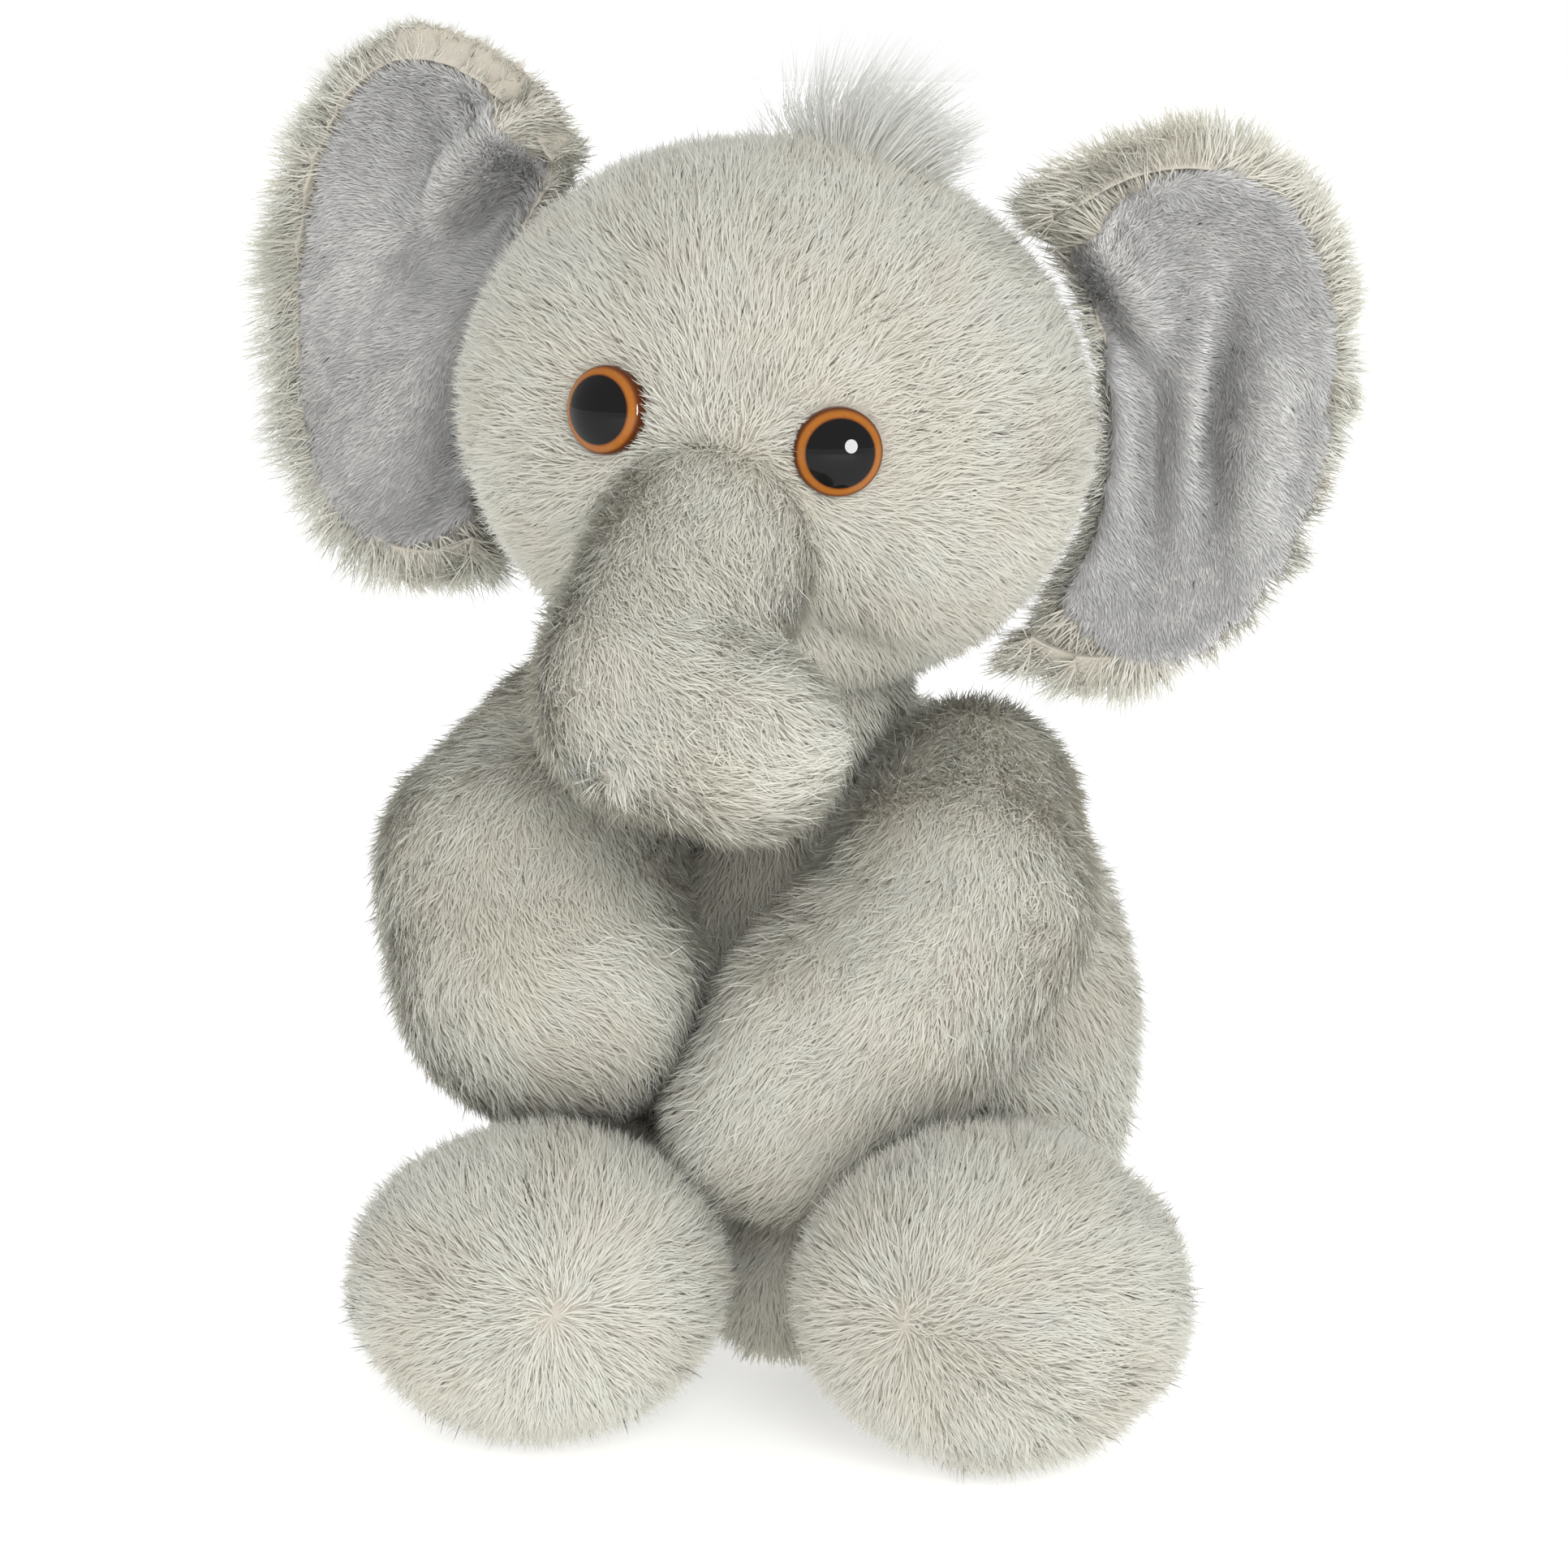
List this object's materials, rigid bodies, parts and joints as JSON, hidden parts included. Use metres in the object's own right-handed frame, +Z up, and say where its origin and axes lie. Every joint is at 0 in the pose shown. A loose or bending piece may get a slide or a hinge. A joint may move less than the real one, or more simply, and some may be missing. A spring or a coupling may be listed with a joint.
{
  "type": "stuffed elephant",
  "caption": "Seated soft toy elephant in long-pile plush with cupped satin-lined ears, a curled trunk and round feet that rest on the floor.",
  "frame": {"origin": "on the floor plane under the centre of the toy's box", "axes": "+Z up, the toy faces -Y, its own left is +X"},
  "size_m": [0.2435, 0.2244, 0.2861],
  "materials": {
    "plush": "long soft pile, pale silver tips over taupe roots",
    "tuft": "long fine hair",
    "ear_satin": "short brushed nap with a satin sheen",
    "stuffing": "loose white fibre",
    "pellet_cloth": "plain woven cloth",
    "eye_clear": "clear polished plastic",
    "eye_amber": "amber, glossy",
    "eye_black": "black, glossy",
    "washer_white": "moulded, matt"
  },
  "bodies": {
    "torso": {"torso_seat_panel": "plush", "torso_belly_panel": "plush", "torso_filling": "stuffing", "seat_pellet_pouch": "pellet_cloth", "torso_left_flank_panel": "plush", "torso_left_back_panel": "plush", "torso_right_flank_panel": "plush", "torso_right_back_panel": "plush"},
    "head": {"head_chin_panel": "plush", "head_centre_gusset": "plush", "head_filling": "stuffing", "forelock_tuft": "tuft", "head_left_panel": "plush", "head_right_panel": "plush", "left_eye_lens": "eye_clear", "left_eye_iris": "eye_amber", "left_eye_pupil": "eye_black", "left_eye_washer": "washer_white", "right_eye_lens": "eye_clear", "right_eye_iris": "eye_amber", "right_eye_pupil": "eye_black", "right_eye_washer": "washer_white"},
    "trunk": {"trunk_upper_panel": "plush", "trunk_under_panel": "plush", "trunk_filling": "stuffing"},
    "left_ear": {"left_ear_lining": "ear_satin", "left_ear_wadding": "stuffing", "left_ear_back_panel": "plush"},
    "left_arm": {"left_arm_outer_panel": "plush", "left_arm_inner_panel": "plush", "left_arm_filling": "stuffing"},
    "left_leg": {"left_foot_front_panel": "plush", "left_leg_upper_panel": "plush", "left_leg_under_panel": "plush", "left_leg_filling": "stuffing", "left_foot_pellet_pouch": "pellet_cloth"},
    "right_ear": {"right_ear_lining": "ear_satin", "right_ear_wadding": "stuffing", "right_ear_back_panel": "plush"},
    "right_arm": {"right_arm_outer_panel": "plush", "right_arm_inner_panel": "plush", "right_arm_filling": "stuffing"},
    "right_leg": {"right_foot_front_panel": "plush", "right_leg_upper_panel": "plush", "right_leg_under_panel": "plush", "right_leg_filling": "stuffing", "right_foot_pellet_pouch": "pellet_cloth"},
    "tail": {"tail_cover": "plush", "tail_tuft": "tuft"}
  },
  "joints": [
    {"name": "neck_turn", "type": "hinge", "parent": "torso", "child": "head", "pos_m": [0.00205, 0.01775, 0.142], "axis": [0, 0, 1], "range_deg": [-2, 20], "stiffness_Nm_per_rad": 0.3},
    {"name": "trunk_lift", "type": "hinge", "parent": "head", "child": "trunk", "pos_m": [-0.01141, -0.04191, 0.18313], "axis": [-0.9803, 0.1219, 0.1553], "range_deg": [0, 20]},
    {"name": "left_ear_flap", "type": "hinge", "parent": "head", "child": "left_ear", "pos_m": [0.05663, 0.01578, 0.20678], "axis": [-0.1564, 0, -0.9877], "range_deg": [-10, 10], "stiffness_Nm_per_rad": 0.1},
    {"name": "right_ear_flap", "type": "hinge", "parent": "head", "child": "right_ear", "pos_m": [-0.05316, 0.02943, 0.22417], "axis": [0.1564, 0, 0.9877], "range_deg": [-10, 10], "stiffness_Nm_per_rad": 0.1},
    {"name": "left_arm_lift", "type": "hinge", "parent": "torso", "child": "left_arm", "pos_m": [0.04005, 0.00275, 0.121], "axis": [-1, 0, 0], "range_deg": [0, 15]},
    {"name": "right_arm_lift", "type": "hinge", "parent": "torso", "child": "right_arm", "pos_m": [-0.04295, 0.00575, 0.128], "axis": [-1, 0, 0], "range_deg": [0, 25]},
    {"name": "left_leg_splay", "type": "hinge", "parent": "torso", "child": "left_leg", "pos_m": [0.04955, -0.00825, 0.0295], "axis": [0, 0, 1], "range_deg": [0, 25], "stiffness_Nm_per_rad": 0.2},
    {"name": "right_leg_splay", "type": "hinge", "parent": "torso", "child": "right_leg", "pos_m": [-0.04545, -0.00825, 0.0295], "axis": [0, 0, -1], "range_deg": [0, 25], "stiffness_Nm_per_rad": 0.2},
    {"name": "tail_lift", "type": "hinge", "parent": "torso", "child": "tail", "pos_m": [0.00205, 0.09175, 0.05], "axis": [1, 0, 0], "range_deg": [0, 60]}
  ]
}
